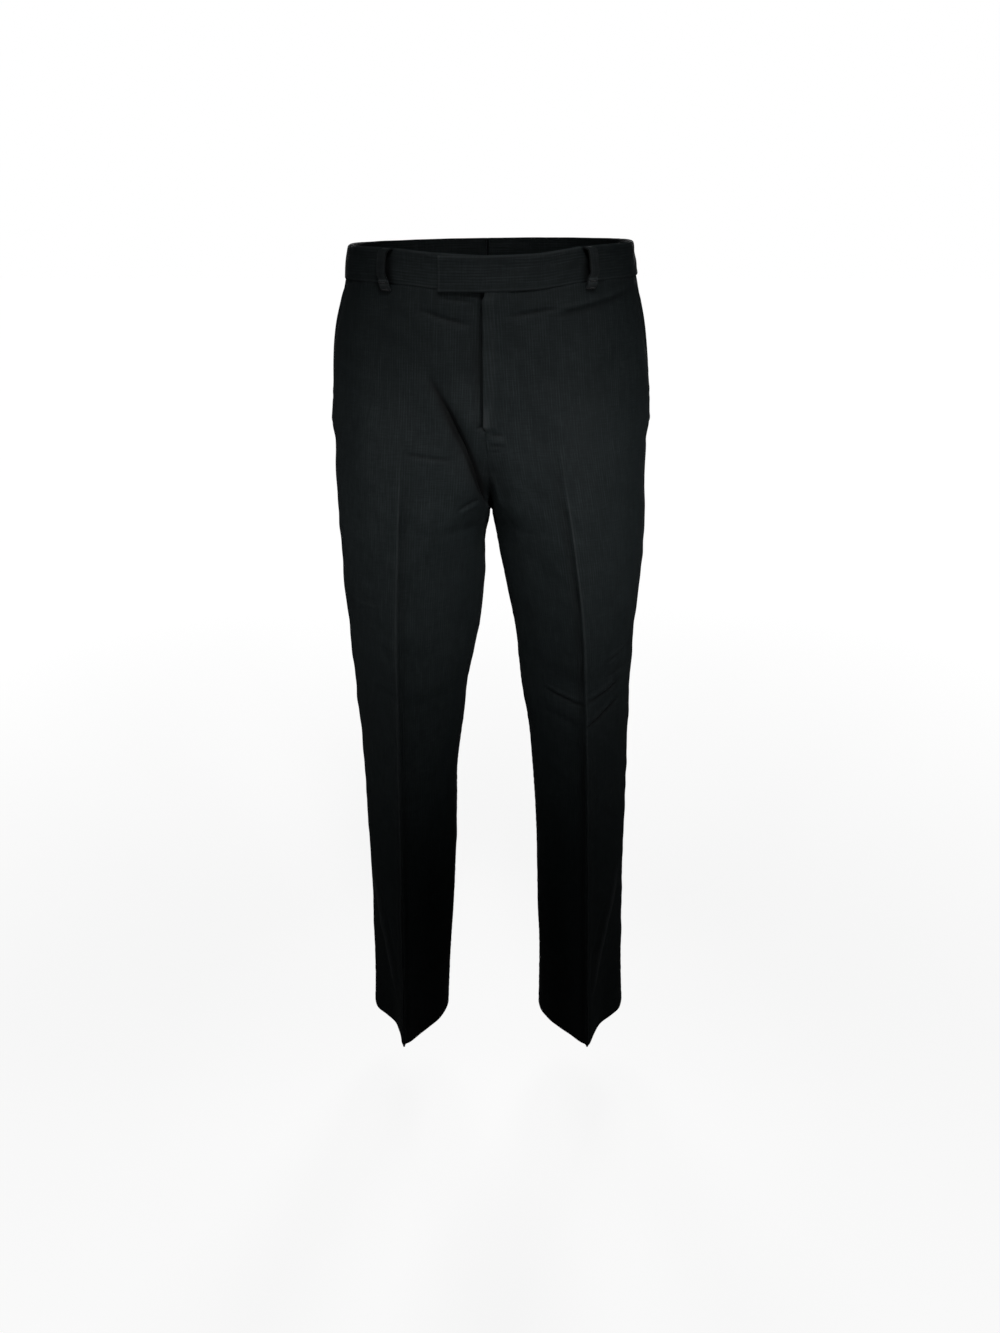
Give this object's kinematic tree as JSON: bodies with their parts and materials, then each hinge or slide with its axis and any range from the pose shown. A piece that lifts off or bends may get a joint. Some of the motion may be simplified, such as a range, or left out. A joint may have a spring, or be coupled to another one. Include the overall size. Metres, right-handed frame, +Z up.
{
  "type": "dress trousers",
  "caption": "Flat-front dress trousers in their worn, hollow form: pressed creases, slanted side pockets, fly, extension-tab waistband and belt loops.",
  "frame": {"origin": "middle of the waistband's height on the wearer's body axis, where the waist holds the trousers", "axes": "+Z up along the wearer, -Y the way the wearer faces, +X towards the wearer's left side"},
  "size_m": [0.3684, 0.276, 1.0372],
  "materials": {
    "front_right": "matte fine-striped suiting",
    "front_left": "matte fine-striped suiting",
    "back_right": "matte fine-striped suiting",
    "back_left": "matte fine-striped suiting",
    "pocket_bearer_right": "matte fine-striped suiting",
    "pocket_bearer_left": "matte fine-striped suiting",
    "waistband_right": "matte fine-striped suiting",
    "waistband_left": "matte fine-striped suiting",
    "belt_loop_1": "matte fine-striped suiting",
    "belt_loop_2": "matte fine-striped suiting",
    "belt_loop_3": "matte fine-striped suiting",
    "belt_loop_4": "matte fine-striped suiting",
    "belt_loop_5": "matte fine-striped suiting",
    "belt_loop_6": "matte fine-striped suiting",
    "belt_loop_7": "matte fine-striped suiting"
  },
  "bodies": {
    "root": {"front_right": "front_right", "front_left": "front_left", "back_right": "back_right", "back_left": "back_left", "pocket_bearer_right": "pocket_bearer_right", "pocket_bearer_left": "pocket_bearer_left", "waistband_right": "waistband_right", "waistband_left": "waistband_left", "belt_loop_1": "belt_loop_1", "belt_loop_2": "belt_loop_2", "belt_loop_3": "belt_loop_3", "belt_loop_4": "belt_loop_4", "belt_loop_5": "belt_loop_5", "belt_loop_6": "belt_loop_6", "belt_loop_7": "belt_loop_7"}
  },
  "joints": []
}
